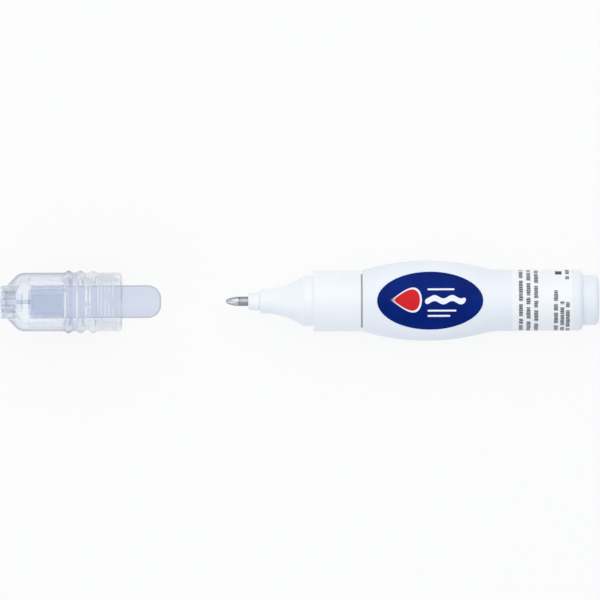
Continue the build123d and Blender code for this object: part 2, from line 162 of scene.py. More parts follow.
def slabGrid(long, wide, high, corners, edges, axes=(0, 1, 2)):
    # a rounded rectangle carried up a slab: long, wide and high are (low, top) pairs on the axes named,
    # corners are its four corner radii, from low-low round, and edges the rounds at the bottom and top
    steps = surfaceForm["slabCornerSteps"]
    quarter = np.linspace(0, math.pi / 2, steps)
    turn = (np.array([math.pi, 1.5 * math.pi, 0, 0.5 * math.pi])[:, None] + quarter).ravel()
    radius = np.repeat(corners, steps)[None]
    middle = np.array([sum(long), sum(wide)]) / 2
    half = np.array([long[1] - long[0], wide[1] - wide[0]]) / 2
    sideA = np.repeat([-1, 1, 1, -1], steps)[None]
    sideB = np.repeat([-1, -1, 1, 1], steps)[None]
    edgeTurn = np.linspace(0, math.pi / 2, surfaceForm["slabEdgeSteps"])
    inset = np.concatenate([edges[0] * (1 - np.sin(edgeTurn)), edges[1] * (1 - np.cos(edgeTurn))])[:, None]
    level = np.concatenate([
        high[0] + edges[0] * (1 - np.cos(edgeTurn)), high[1] - edges[1] * (1 - np.sin(edgeTurn))
    ])
    shrunk = np.maximum(radius - inset, 0)
    a = sideA * (half[0] - np.maximum(radius, inset)) + shrunk * np.cos(turn)
    b = sideB * (half[1] - np.maximum(radius, inset)) + shrunk * np.sin(turn)
    spread = np.clip(np.minimum(half - half[::-1], half - max(corners)), 0, None)
    spine = np.clip(a[:1], -spread[0], spread[0])     # the line on which the bottom and the top close
    ridge = np.clip(b[:1], -spread[1], spread[1])
    a = np.concatenate([spine, a, spine]) + middle[0]
    b = np.concatenate([ridge, b, ridge]) + middle[1]
    level = np.concatenate([high[:1], level, high[1:]])[:, None]
    grid = np.empty(a.shape + (3,))
    for axis, values in zip(axes, (a, b, level)):
        grid[..., axis] = values
    return grid


def placed(name, data):  # a new object in the scene
    made = bpy.data.objects.new(name, data)
    bpy.context.scene.collection.objects.link(made)
    return made


def smoothed(piece):  # smooth shading, with crisp edges where neighbouring faces turn sharply
    piece.data.polygons.foreach_set("use_smooth", np.ones(len(piece.data.polygons), bool))
    piece.data.set_sharp_from_angle(angle=surfaceForm["sharpAngle"])
    return piece


def skinned(name, *grids):
    # quads between neighbouring rows and columns, with columns closed into a ring and faces turned outwards
    mesh = bpy.data.meshes.new(name)
    points, faces, used = [], [], 0
    for grid in grids:
        rows, columns = grid.shape[:2]
        index = np.arange(rows * columns).reshape(rows, columns)
        beside = np.roll(index, -1, axis=1)
        quads = np.stack([index[:-1], beside[:-1], beside[1:], index[1:]], -1).reshape(-1, 4)
        spots = grid.reshape(-1, 3)
        a, b, c, d = spots[quads.T]
        volume = np.sum(a * np.cross(b, c)) + np.sum(a * np.cross(c, d))
        faces.append((quads if volume > 0 else quads[:, ::-1]) + used)
        points.append(spots)
        used += len(spots)
    mesh.from_pydata((np.vstack(points) * mm).tolist(), [], np.vstack(faces).tolist())
    shape = bmesh.new()
    shape.from_mesh(mesh)
    bmesh.ops.remove_doubles(shape, verts=shape.verts, dist=surfaceForm["mergeDistance"])
    shape.to_mesh(mesh)
    shape.free()
    return smoothed(placed(name, mesh))


def turnedPiece(name, line, columns=surfaceForm["columns"]):  # an outline carried all round the axis
    return skinned(name, ovalGrid(turnedRows(line), columns))


def cutTogether(piece, *steps):  # joins or cuts other closed pieces, each step (operation, tool piece)
    for operation, tool in steps:
        change = piece.modifiers.new(tool.name, "BOOLEAN")
        change.operation = operation
        change.solver = "EXACT"
        change.object = tool
    mesh = bpy.data.meshes.new_from_object(piece.evaluated_get(bpy.context.evaluated_depsgraph_get()))
    piece.modifiers.clear()
    piece.data = mesh
    for _, tool in steps:
        bpy.data.objects.remove(tool)
    return smoothed(piece)


def fitted(piece, material, body, slot, *nodes):  # a piece's finish, its body and the nodes it stands for
    piece.data.materials.clear()
    piece.data.materials.append(material)
    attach(piece, body)
    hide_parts(*nodes)
    print("built", piece.name, "with", len(piece.data.polygons), "faces")


# Tools for finishes

finishForm = {
    "mottle": (0.3, 0.7),    # where cloudy noise goes over from one tint to the other
    "hardIor": 1.5,          # of hard plastic and film
}


class Socket:  # one output of a node, so that shader maths reads as sums
    def __init__(self, tree, output=None):
        self.tree = tree
        self.output = output

    def node(self, kind, settings, inputs, output=0):  # any node: its settings first, then its sockets
        made = self.tree.nodes.new(kind)
        for name, value in settings.items():
            setattr(made, name, value)
        for name, value in inputs.items():
            if isinstance(value, Socket):
                self.tree.links.new(value.output, made.inputs[name])
            else:
                made.inputs[name].default_value = value
        return Socket(self.tree, made.outputs[output] if made.outputs else None)

    def maths(self, operation, first, second=0.0):
        return self.node("ShaderNodeMath", {"operation": operation}, {0: first, 1: second})

    def __add__(self, other):
        return self.maths("ADD", self, other)

    def __sub__(self, other):
        return self.maths("SUBTRACT", self, other)

    def __rsub__(self, other):
        return self.maths("SUBTRACT", other, self)

    def __mul__(self, other):
        return self.maths("MULTIPLY", self, other)

    def __truediv__(self, other):
        return self.maths("DIVIDE", self, other)

    def __pow__(self, other):
        return self.maths("POWER", self, other)

    __radd__ = __add__
    __rmul__ = __mul__

    def size(self):
        return self.maths("ABSOLUTE", self)

    def wave(self):
        return self.maths("SINE", self)

    def most(self, other):
        return self.maths("MAXIMUM", self, other)

    def rise(self, low, high):  # 0 below low, 1 above high, smooth between
        return self.node(
            "ShaderNodeMapRange",
            {"interpolation_type": "SMOOTHSTEP"},
            {"Value": self, "From Min": low, "From Max": high},
        )

    # a Mix node takes its two colours at sockets 6 and 7, and gives the mixed one at 2

    def blend(self, under, over):  # under where this is 0, over where it is 1
        return self.node("ShaderNodeMix", {"data_type": "RGBA"}, {0: self, 6: under, 7: over}, 2)

    def shade(self, colour, tint):  # the colour where this is 0, the colour times the tint where it is 1
        settings = {"data_type": "RGBA", "blend_type": "MULTIPLY"}
        return self.node("ShaderNodeMix", settings, {0: self, 6: colour, 7: tint}, 2)

    def mottle(self, under, over):  # two tints clouded into each other, where this is noise
        return self.rise(*finishForm["mottle"]).blend(under, over)

    def places(self):  # the spot on the piece, in millimetres along each axis
        spot = self.node("ShaderNodeTexCoord", {}, {}, "Object")
        return [self.node("ShaderNodeSeparateXYZ", {}, {0: spot}, axis) / mm for axis in range(3)]

    def grain(self, size, detail=2.0, stretch=(1.0, 1.0, 1.0)):  # cloudy noise with spots of that size
        spot = self.node("ShaderNodeTexCoord", {}, {}, "Object")
        spot = self.node("ShaderNodeMapping", {}, {"Vector": spot, "Scale": stretch})
        inputs = {"Vector": spot, "Scale": 1 / (size * mm), "Detail": detail}
        return self.node("ShaderNodeTexNoise", {}, inputs)

    def glancing(self, limits):  # 0 where a surface faces the eye, 1 where it is seen nearly edge-on
        return self.node("ShaderNodeLayerWeight", {}, {}, "Facing").rise(*limits)

    def bump(self, height, strength, depth):
        inputs = {"Strength": strength, "Distance": depth * mm, "Height": height}
        return self.node("ShaderNodeBump", {}, inputs)

    def skin(self, size, strength, depth, detail=2.0):  # fine bumps from noise with spots of that size
        return self.bump(self.grain(size, detail), strength, depth)


def paint(red, green, blue):  # a colour of 0 to 255 as a screen shows it, made linear
    shown = np.array([red, green, blue]) / 255
    return (*np.where(shown > 0.04045, ((shown + 0.055) / 1.055) ** 2.4, shown / 12.92), 1.0)


def newFinish(name):
    material = bpy.data.materials.new(name)
    material.use_nodes = True
    material.node_tree.nodes.clear()
    return material, Socket(material.node_tree)


def settle(material, start, inputs):  # the shader and the output
    shader = start.node("ShaderNodeBsdfPrincipled", {}, inputs)
    start.node("ShaderNodeOutputMaterial", {}, {"Surface": shader})
    return material


# Finishes

plasticForm = {
    "satin": {"pale": (244, 246, 250), "deep": (239, 243, 248), "rough": 0.45, "peel": 0.6},
    "gloss": {"pale": (249, 250, 252), "deep": (245, 247, 250), "rough": 0.34, "peel": 0.3},
    "neck": (208, 211, 215),    # painted shade: grey on the neck under the sleeve, which shows as the dark seam
    "seamShadeEdge": 0.02,           # half the length over which that painted grey ends, in millimetres
    "cloudSize": 9.0,
    "sheen": (2.5, 0.12),       # size of the patches of uneven gloss, and how far they differ
    "skinSize": 0.5,
    "skinDepth": 0.004,
    "skinDetail": 3.0,
}


def mouldedPlastic(name, kind, seamShadeEnd=None):  # pale plastic with cloudy tint, uneven gloss and a fine skin
    form = plasticForm
    shade = form[kind]
    material, start = newFinish(name)
    colour = start.grain(form["cloudSize"]).mottle(paint(*shade["deep"]), paint(*shade["pale"]))
    # painted shade: the neck in front of the barrel's front face turns grey, standing in for the shade in the
    # seam
    if seamShadeEnd is not None:
        pastSeamShade = start.places()[0].rise(seamShadeEnd - form["seamShadeEdge"], seamShadeEnd + form["seamShadeEdge"])
        colour = pastSeamShade.blend(paint(*form["neck"]), colour)
    sheenSize, sheenSpread = form["sheen"]
    return settle(material, start, {
        "Base Color": colour,
        "Roughness": shade["rough"] + (start.grain(sheenSize) - 0.5) * sheenSpread,
        "Normal": start.skin(form["skinSize"], shade["peel"], form["skinDepth"], form["skinDetail"]),
        "IOR": finishForm["hardIor"],
    })


steelForm = {
    "bright": (182, 182, 188), "dull": (150, 150, 158),
    "point": (204, 203, 208),               # painted reflection: a lighter colour on the point of the tip
    "pointFade": 0.3,                       # length over which it goes over into the duller shank
    "glanceShade": (0.4, 0.4, 0.43, 1.0),        # painted dark reflection: tint where the steel is seen at a glancing angle
    "glanceFrom": (0.25, 0.7),
    "edgeTint": (0.35, 0.35, 0.38, 1.0),    # tint of what it mirrors almost edge-on
    "rough": 0.2,
    "roughSpread": 0.12,
    "smear": {"size": 0.7, "detail": 3.0, "stretch": (0.25, 1.0, 1.0)},
    "rings": {"pitch": 0.11, "wander": 5.0, "wanderSize": 0.8, "strength": 0.25, "depth": 0.006},
}


def turnedSteel(name, form, pointEnd=None):  # bright steel with fine rings left by the lathe
    material, start = newFinish(name)
    along = start.places()[0]
    rings = form["rings"]
    wander = start.grain(rings["wanderSize"]) * rings["wander"]
    turned = (along * (2 * math.pi / rings["pitch"]) + wander).wave()
    smear = start.grain(**form["smear"])
    colour = smear.mottle(paint(*form["dull"]), paint(*form["bright"]))
    if pointEnd is not None:  # the ogive gets a lighter colour, a painted reflection, and the straight shank behind it stays duller
        colour = along.rise(pointEnd - form["pointFade"], pointEnd).blend(paint(*form["point"]), colour)
    return settle(material, start, {
        # painted dark reflection: the colour darkens where the steel is seen nearly edge-on
        "Base Color": start.glancing(form["glanceFrom"]).shade(colour, form["glanceShade"]),
        "Metallic": 1.0,
        "Roughness": form["rough"] + smear * form["roughSpread"],
        "Specular Tint": form["edgeTint"],
        "Normal": start.bump(turned, rings["strength"], rings["depth"]),
    })


clearForm = {
    "middle": (0.96, 0.97, 0.985, 1.0),      # what the two sides of a wall let through
    "sides": (0.82, 0.865, 0.985, 1.0),      # painted shade: a darker, bluer tint beside the clip, where the wall lies steep
    "sidesFrom": (3.7, 4.3),                 # how far from the middle plane that comes in, in millimetres
    "mouth": (12.0, 7.0),                    # how far behind the rim the open mouth comes in
    "mouthSides": (0.83, 0.9, 1.0, 1.0),     # the painted shade on the sides there, a little lighter
    "end": (0.86, 0.905, 0.97, 1.0),         # what the solid closed end lets through
    "endFrom": (20.6, 21.2),                 # distance behind the rim where it comes in
    "glanceShade": (0.11, 0.155, 0.3, 1.0),       # painted shade: dark tint of the sides where they are seen at a glancing angle, which draws the glass's outline
    "glanceFrom": (0.45, 0.8),
    "mouthGlance": 0.25,                     # share of that tint at the mouth
    "clip": (0.4, 0.466, 0.683, 1.0),        # the clip is thicker, with a hazy underside
    "clipEdgeShade": (0.22, 0.25, 0.36, 1.0),     # painted shade along its outline
    "clipEdgeShadeFrom": (0.5, 0.2),              # how far inside the clip's edge the painted outline shade comes in
    "clipHeight": (7.9, 8.3),                # where the clip's tint comes in, in millimetres
    "crown": (0.74, 0.83, 1.0, 1.0),         # the top of the crown block
    "crownFade": 0.1,                        # half the length over which its tint comes in
    "crownLine": (0.16, 0.22, 0.42, 1.0),    # painted shade in its grooves
    "crownLineHalf": (0.12, 0.3),            # how far from a groove's middle the painted shade fades
    "straight": 0.15,                        # share of light that goes straight through
    "crownStraight": 0.3,                    # the same in the crown block
    "mouthStraight": 0.42,                   # the same at the sides of the mouth
    "rough": 0.02,
    "hazeRough": 0.06,                       # added where the plastic is hazy
    "haze": (1.6, 0.45, 0.8),                # size of the hazy spots, and where in the noise they come in
    "clipRough": 0.08,                       # added on the clip
    "ripple": {"size": 1.1, "stretch": (1.0, 0.35, 0.35)},
    "rippleBump": (0.35, 0.02),              # strength and depth of the ripples
    "ior": 1.45,
    "patches": {"size": 2.2, "stretch": (0.5, 1.0, 1.0)},    # they break up the painted highlight lines
    "patchesFrom": (0.35, 0.5),
    "streakCore": 0.3,                       # share of a bright line's half width before it fades
    # painted highlights: bright lines across the clip: distance behind the rim, half width and strength
    "highlightStreaks": (
        (12.95, 0.3, 1.0), (10.2, 0.3, 0.8), (8.1, 0.4, 0.7), (7.2, 0.25, 0.8),
        (5.4, 0.18, 0.6), (4.6, 0.16, 0.5), (3.7, 0.18, 0.6), (2.9, 0.16, 0.5), (1.9, 0.2, 0.5),
    ),
}


def clearPlastic(name, form, rim, crown, grooves, tongue):
    # glassy moulded plastic with a blue cast, ripples and faint haze, with painted shade and painted
    # highlights, where crown is the crown block's start, grooves are the places of its grooves, and tongue is
    # the clip's half width, corner round and free end
    material, start = newFinish(name)
    along, across, up = start.places()
    behind, aside = rim - along, across.size()
    patches = start.grain(**form["patches"]).rise(*form["patchesFrom"])
    hazeSize, *hazeFrom = form["haze"]
    hazy = start.grain(hazeSize).rise(*hazeFrom)
    onClip = up.rise(*form["clipHeight"])
    inCrown = behind.rise(crown - form["crownFade"], crown + form["crownFade"])
    onSide = aside.rise(*form["sidesFrom"])
    mouthSide = onSide * (1 - behind.rise(*form["mouth"][::-1]))
    clipHalf, clipRound, clipEnd = tongue
    past = (along - (clipEnd - clipRound)).most(0.0)
    beside = (aside - (clipHalf - clipRound)).most(0.0)
    inside = clipRound - (past * past + beside * beside) ** 0.5
    # painted shade: a dark line just inside the clip's edge
    clipEdgeShade = 1 - inside.rise(*form["clipEdgeShadeFrom"][::-1])
    # painted shade: a dark outline where the sides are seen nearly edge-on, weaker at the mouth
    glanceShade = start.glancing(form["glanceFrom"]) * (onSide - mouthSide * (1 - form["mouthGlance"]))
    # painted shade: dark lines along the grooves of the crown block
    crownLine = 0.0
    for groove in grooves:
        crownLine = (1 - (across - groove).size().rise(*form["crownLineHalf"])).most(crownLine)
    tint = onClip
    # painted highlights: bright lines that take the clip's dark tint away
    for distance, half, strength in form["highlightStreaks"]:
        bright = 1 - (behind - distance).size().rise(form["streakCore"] * half, half)
        tint = tint * (1 - bright * patches * strength)
    wall = behind.rise(*form["endFrom"]).blend(form["middle"], form["end"])
    # painted shade: the sides beside the clip get a darker tint, a little lighter at the mouth
    wall = mouthSide.blend(onSide.blend(wall, form["sides"]), form["mouthSides"])
    top = clipEdgeShade.blend(form["clip"], form["clipEdgeShade"])
    top = inCrown.blend(top, crownLine.blend(form["crown"], form["crownLine"]))
    straight = (
        form["straight"]
        + inCrown * (form["crownStraight"] - form["straight"])
        + mouthSide * (form["mouthStraight"] - form["straight"])
    )
    return settle(material, start, {
        "Base Color": glanceShade.shade(tint.blend(wall, top), form["glanceShade"]),
        "Roughness": form["rough"] + hazy * form["hazeRough"] + onClip * form["clipRough"],
        "Normal": start.bump(start.grain(**form["ripple"]), *form["rippleBump"]),
        "Alpha": 1 - straight,
        "IOR": form["ior"],
        "Transmission Weight": 1.0,
    })


milkyForm = {
    "deep": (0.88, 0.925, 0.98, 1.0), "pale": (0.91, 0.945, 0.985, 1.0), "cloudSize": 1.8,
    "rough": 0.15, "roughSpread": 0.1,
    "skin": (0.4, 0.2, 0.01),    # spot size, strength and depth of the fine skin
    "straight": 0.2,             # share of light that goes straight through
    "through": 0.95,             # share of the rest that the plastic lets through
    "ior": 1.08,
}


def softSeal(name, form):  # milky soft plastic that lets some light through
    material, start = newFinish(name)
    cloud = start.grain(form["cloudSize"])
    return settle(material, start, {
        "Base Color": cloud.mottle(form["deep"], form["pale"]),
        "Roughness": form["rough"] + cloud * form["roughSpread"],
        "Normal": start.skin(*form["skin"]),
        "Alpha": 1 - form["straight"],
        "IOR": form["ior"],
        "Transmission Weight": form["through"],
    })


gasketForm = {
    "deep": (196, 198, 202), "pale": (216, 218, 222), "rough": 0.6, "roughSpread": 0.2,
    "spots": (0.6, 4.0),         # size and detail of the rubber's spots
    "bump": (0.3, 0.02),         # their strength and depth
}


def gasketRubber(name, form):  # dull rubber with fine grey spots
    material, start = newFinish(name)
    spots = start.grain(*form["spots"])
    return settle(material, start, {
        "Base Color": spots.blend(paint(*form["deep"]), paint(*form["pale"])),
        "Roughness": form["rough"] + spots * form["roughSpread"],
        "Normal": start.bump(spots, *form["bump"]),
    })


def printedFilm(material, start, form, colour):  # film with that print, uneven gloss and a fine skin
    rough, patchSize, patchSpread = form["rough"]
    return settle(material, start, {
        "Base Color": colour,
        "Roughness": rough + start.grain(patchSize) * patchSpread,
        "Normal": start.skin(*form["skin"]),
        "IOR": finishForm["hardIor"],
        "Specular IOR Level": form["gloss"],
    })


badgeForm = {
    "blue": (5, 37, 122), "blueDeep": (2, 31, 112), "red": (216, 40, 46), "white": (246, 248, 252),
    "edge": 0.06,                # softness of the print's edges, in millimetres
    "drop": {"centre": (-5.9, 0.15), "half": (2.5, 3.6), "border": 0.42},    # its point lies to the left
    "stroke": {"from": -0.7, "to": 7.7, "half": 0.68, "ripple": 0.38, "pace": 1.55, "height": 0.2},
    "lines": ((2.6, -0.6, 5.6), (-2.3, -0.6, 6.0), (-3.5, -0.6, 4.6)),   # height, start and end of each
    "lineHalf": 0.2,
    "cloudSize": 6.0,
    "rough": (0.3, 1.5, 0.1),    # roughness, size of its patches and how far they differ
    "skin": (0.4, 0.3, 0.004),   # spot size, strength and depth of the fine skin
    "gloss": 0.05,               # how strongly the film mirrors
}


def badgePrint(name, form, centre):  # blue film with a drop, a broad wavy stroke and three ruled lines
    material, start = newFinish(name)
    along, v, _ = start.places()
    u = along - centre
    edge = form["edge"]

    def drop(grow):  # y squared under (1 + s)(1 - s)^3, which is round at one end and pointed at the other
        peak = 27 / 16    # the largest value of that formula
        halfWide, halfLong = form["drop"]["half"]
        s = (u - form["drop"]["centre"][0]) / (halfLong + grow) * -1.0
        y = (v - form["drop"]["centre"][1]) / (halfWide + grow) * math.sqrt(peak)
        inside = (1 + s).most(0.0) * (1 - s).most(0.0) ** 3.0 - y * y
        return inside.rise(0.0, 2 * edge)

    def bar(height, first, last, half):  # a bar with round ends
        reach = (u - (first + last) / 2).size() - ((last - first) / 2 - form["lineHalf"])
        lift = v - height
        away = (reach.most(0.0) ** 2.0 + lift * lift) ** 0.5
        return 1 - (away - half).rise(-edge, edge)

    stroke = form["stroke"]
    wavy = (u * stroke["pace"]).wave() * stroke["ripple"] + stroke["height"]
    white = bar(wavy, stroke["from"], stroke["to"], stroke["half"])
    for height, first, last in form["lines"]:
        white = white.most(bar(height, first, last, form["lineHalf"]))
    white = white.most(drop(form["drop"]["border"]))
    ground = start.grain(form["cloudSize"]).mottle(paint(*form["blueDeep"]), paint(*form["blue"]))
    printed = white.blend(ground, paint(*form["white"]))
    return printedFilm(material, start, form, drop(0.0).blend(printed, paint(*form["red"])))


wrapForm = {
    "film": (252, 252, 253), "filmDeep": (248, 249, 251), "ink": (52, 53, 60),
    "cloudSize": 5.0,
    "rough": (0.4, 2.0, 0.1),    # roughness, size of its patches and how far they differ
    "skin": (0.5, 0.3, 0.004),   # spot size, strength and depth of the fine skin
    "gloss": 0.5,                # how strongly the film mirrors
    # rows of dashes: place from the film's front, phase, and the angles where the row starts and ends
    "rows": (
        (1.95, 0, -1.5, 1.5), (3.7, 1, -1.5, 1.5), (5.45, 2, -1.5, 1.5),
        (10.0, 3, -1.5, 0.33), (11.45, 4, -1.5, -0.04), (12.7, 5, -1.5, -0.07), (12.6, 6, 0.75, 1.5),
    ),
    "bar": (10.6, 0.75, 1.0, 1.25),    # one bold bar: place, half height and its angles
    "barEdge": 0.05,                   # softness of the bar's sides, in millimetres
    "halfHeight": 0.45,                # half of a dash's height
    "ragged": (0.45, 0.5),             # spots that make it uneven: their size and weight
    "dashEdge": 0.06,                  # softness of a dash's sides
    "turnEdge": 0.01,                  # softness of a row's ends, as an angle
    "radius": 7.0,                     # at which an angle is counted as a length
    "sway": ((3.3, 2.3, 1.0), (2.03, 1.7, 0.8)),    # long waves: pace, shift from row to row, height
    "swayFrom": (-1.05, -0.85),        # they part the dashes below this
    "tick": (14.0, 1.2, 9.0),          # short waves: pace, and the size and weight of spots that upset it
    "tickFrom": (-0.4, 0.5),
    "tickShare": 0.45,                 # how much of the ink they take away
}


def wrapPrint(name, form, front):  # white film with broken rows of small plain dashes
    material, start = newFinish(name)
    along, across, up = start.places()
    turn = start.maths("ARCTAN2", across, up)
    reach = turn * form["radius"]

    def between(low, high):  # 1 between two angles
        edge = form["turnEdge"]
        return turn.rise(low - edge, low + edge) * (1 - turn.rise(high - edge, high + edge))

    def band(place, half, edge):  # 1 within half of a place along the film
        return 1 - ((along - front - place).size() - half).rise(-edge, edge)

    def dashes(phase):  # long waves part the row into dashes, and short ones break these up
        sway = sum((reach * pace + phase * shift).wave() * height for pace, shift, height in form["sway"])
        pace, spotSize, spotWeight = form["tick"]
        tick = (reach * pace + phase + start.grain(spotSize) * spotWeight).wave()
        share = form["tickShare"]
        return sway.rise(*form["swayFrom"]) * (1 - share + tick.rise(*form["tickFrom"]) * share)

    def row(place, phase, low, high):
        spotSize, spotWeight = form["ragged"]
        half = form["halfHeight"] + (start.grain(spotSize) - 0.5) * spotWeight
        return band(place, half, form["dashEdge"]) * dashes(phase) * between(low, high)

    place, half, low, high = form["bar"]
    ink = band(place, half, form["barEdge"]) * between(low, high)
    for place, phase, low, high in form["rows"]:
        ink = ink.most(row(place, phase, low, high))
    film = start.grain(form["cloudSize"]).mottle(paint(*form["filmDeep"]), paint(*form["film"]))
    return printedFilm(material, start, form, ink.blend(film, paint(*form["ink"])))


satinWhite = mouldedPlastic("satinWhitePlastic", "satin")
glossWhite = mouldedPlastic("glossWhitePlastic", "gloss")
steel = turnedSteel("turnedSteel", steelForm)
seal = softSeal("softSealPlastic", milkyForm)
rubber = gasketRubber("gasketRubber", gasketForm)
print("finishes ready")


# Places along the pen, from the frame

sleeveStart, sleeveEnd, barrelRadius = nodeSpan("front_sleeve")
neckFront, barrelRear, bulgeHalf = nodeSpan("squeeze_barrel")
wrapStart, wrapEnd, wrapRadius = nodeSpan("wrap_label")
noseFront, skirtEnd, neckRadius = nodeSpan("nose_cone")
holderFront, holderEnd, holderRadius = nodeSpan("tip_holder")
tipFront, tipEnd, tipRadius = nodeSpan("metal_tip")
ballFront, ballBack, ballRadius = nodeSpan("writing_ball")
tailFront, tailEnd, _ = nodeSpan("tail_plug")
_, tongueEnd, _ = nodeSpan("cap_shell")
sealEnd, sealMouth, sealRadius = nodeSpan("cap_seal")
badgeStart, badgeEnd, badgeHalf = nodeSpan("oval_label")
_, retainerEnd, retainerRadius = nodeSpan("spring_retainer")
springStart, springEnd, springRadius = nodeSpan("valve_spring")
ballCentre = (ballFront + ballBack) / 2
badgeCentre = (badgeStart + badgeEnd) / 2


# Squeeze barrel

barrelForm = {
    "seamGap": 0.35,          # dark line between sleeve and barrel
    "crestDistance": 14.9,    # from the seam to the widest place
    "blendRadius": 16.0,      # hollow curve from the bulge to the straight rear
    "squeezeDip": 0.7,        # how far the broad faces sink at the widest place
    "frontRound": 0.2,
    "frontRows": 8,
    "frontStep": 0.15,        # from that round to the next row
    "endRound": 1.25,
    "boreRound": 0.15,        # at the rear mouth
    "seatDepth": 0.12,        # the wrap label lies in a shallow seat
    "seatRound": 0.05,
    "wall": 1.5,
    "thinWall": 1.0,
    "shoulderWall": 1.2,
    "neckWall": 1.45,
    "neckRound": 0.2,         # at the neck's front edge, and where its bore meets the hollow
    "beadSetback": 3.0,
    "bead": (0.45, 0.225, 0.2),   # half widths of the neck bead at its foot and top, and its height
    "beadRound": 0.1,         # on the bead and at the neck's foot
    "seam": 0.01,             # step between the front face's last row and the bulge's first
    "hollowStep": 1.0,        # spacing of rows inside the bulge
}
barrelFront = sleeveEnd + barrelForm["seamGap"]
bulgeCrest = barrelFront + barrelForm["crestDistance"]
bulgeRise = bulgeHalf - barrelRadius
bulgeArc = levelArc(barrelForm["crestDistance"], bulgeRise)
blendReach = math.sqrt(bulgeRise * (2 * (bulgeArc + barrelForm["blendRadius"]) - bulgeRise))
blendEnd = bulgeCrest + blendReach
blendStart = bulgeCrest + blendReach * bulgeArc / (bulgeArc + barrelForm["blendRadius"])


def bulgeBump(place):  # 0 at the seam and at the blend's end, rising smoothly to 1 at the crest
    reach = np.where(place < bulgeCrest, barrelForm["crestDistance"], blendReach)
    away = np.minimum(1, np.abs(place - bulgeCrest) / reach)
    return (1 - away**2) ** 2


def bulgeAxes(place):  # half width and half depth: one arc over the crest, then a hollow blend
    crown = barrelRadius + bulgeRise - bulgeArc
    crown = crown + np.sqrt(np.maximum(bulgeArc**2 - (place - bulgeCrest) ** 2, 0))
    short = np.clip(blendEnd - place, 0, barrelForm["blendRadius"])
    hollow = barrelRadius + barrelForm["blendRadius"] - np.sqrt(barrelForm["blendRadius"] ** 2 - short**2)
    wide = np.where(place <= blendStart, crown, hollow)
    return wide, barrelRadius - barrelForm["squeezeDip"] * bulgeBump(place)


def barrelRows():
    # neck with its bead, bulge, seat of the label and rear mouth, then back inside to the neck's bore
    form = barrelForm
    neckBore = neckRadius - form["neckWall"]
    boreRadius = barrelRadius - form["wall"]
    seatRadius = barrelRadius - form["seatDepth"]
    shoulder = barrelFront + form["shoulderWall"]
    neck = filletedLine(
        (neckFront, neckBore, 0),
        (neckFront, neckRadius, form["neckRound"]),
        *snapBead(barrelFront - form["beadSetback"], neckRadius, form["bead"], form["beadRound"]),
        (barrelFront, neckRadius, form["beadRound"]),
        (barrelFront, barrelRadius - form["frontRound"] - form["seam"], 0),
    )
    front = barrelFront + form["frontRound"] * (1 - np.cos(np.linspace(0, math.pi / 2, form["frontRows"])))
    onward = np.arange(front[-1] + form["frontStep"], wrapStart, surfaceForm["runStep"])
    place = np.concatenate([front, onward])
    short = np.clip(front[-1] - place, 0, None)
    inset = form["frontRound"] - np.sqrt(form["frontRound"] ** 2 - short**2)
    wide, deep = bulgeAxes(place)
    bulge = np.column_stack([place, wide - inset, deep - inset])
    rear = filletedLine(
        (wrapStart, barrelRadius, 0),
        (wrapStart, seatRadius, 0),
        (wrapEnd, seatRadius, 0),
        (wrapEnd, barrelRadius, form["seatRound"]),
        (barrelRear, barrelRadius, form["endRound"]),
        (barrelRear, boreRadius, form["boreRound"]),
        (wrapStart, boreRadius, 0),
    )
    inside = np.arange(wrapStart - form["hollowStep"], shoulder, -form["hollowStep"])
    wide, deep = bulgeAxes(inside)
    wall = form["wall"] - (form["wall"] - form["thinWall"]) * bulgeBump(inside)
    hollow = np.column_stack([inside, wide - wall, deep - wall])
    throat = filletedLine(
        (shoulder, boreRadius, 0),
        (shoulder, neckBore, form["neckRound"]),
        (neckFront, neckBore, 0),
    )
    return np.vstack([turnedRows(neck), bulge, turnedRows(rear), hollow, turnedRows(throat)])


barrel = skinned("squeezeBarrel", ovalGrid(barrelRows()))
barrelWhite = mouldedPlastic("barrelPlastic", "satin", barrelFront)
fitted(barrel, barrelWhite, "pen", "barrel_plastic", "squeeze_barrel")


# Front sleeve, nose cone and tip holder

noseForm = {
    "sleeveRound": 0.35,
    "sleeveLand": 2.6,        # length of the ledge that holds the flange
    "landGap": 0.02,
    "collarLength": 2.2,
    "collarRelief": 0.17,
    "flangeLip": 0.25,
    "flangeThickness": 1.3,
    "flareLip": 0.48,         # the cone starts this much thicker than the holder
    "skirtDrop": 1.47,        # neck wall and fit between the flange and the skirt
    "skirtWall": 1.1,
    "skirtRound": 0.2,
    "shankBore": 1.57,        # radius of the bore that takes the holder's shank
    "chamberRadius": 1.5,     # of the spring's chamber
    "retainerLength": 2.0,    # of the seat for the spring's retainer
    "edgeRound": 0.12,        # at the nose's front and the sleeve's rear edge
    "flareStart": 0.02,       # angle of the flare's arc that the round in front of it takes up
    "flareRows": 48,
    "fit": 0.02,
}
landRadius = neckRadius - noseForm["flangeLip"]
collarRadius = landRadius - noseForm["collarRelief"]
landEnd = sleeveStart + noseForm["sleeveLand"]
ledgeRadius = landRadius + noseForm["landGap"]
sleeveBore = neckRadius + noseForm["fit"]
sleeveLine = filletedLine(
    (sleeveEnd, sleeveBore, 0),
    (landEnd, sleeveBore, 0),
    (landEnd, ledgeRadius, 0),
    (sleeveStart, ledgeRadius, 0),
    (sleeveStart, barrelRadius, noseForm["sleeveRound"]),
    (sleeveEnd, barrelRadius, noseForm["edgeRound"]),
    (sleeveEnd, sleeveBore, 0),
)
sleeve = turnedPiece("frontSleeve", sleeveLine)
fitted(sleeve, glossWhite, "pen", "white_plastic", "front_sleeve")


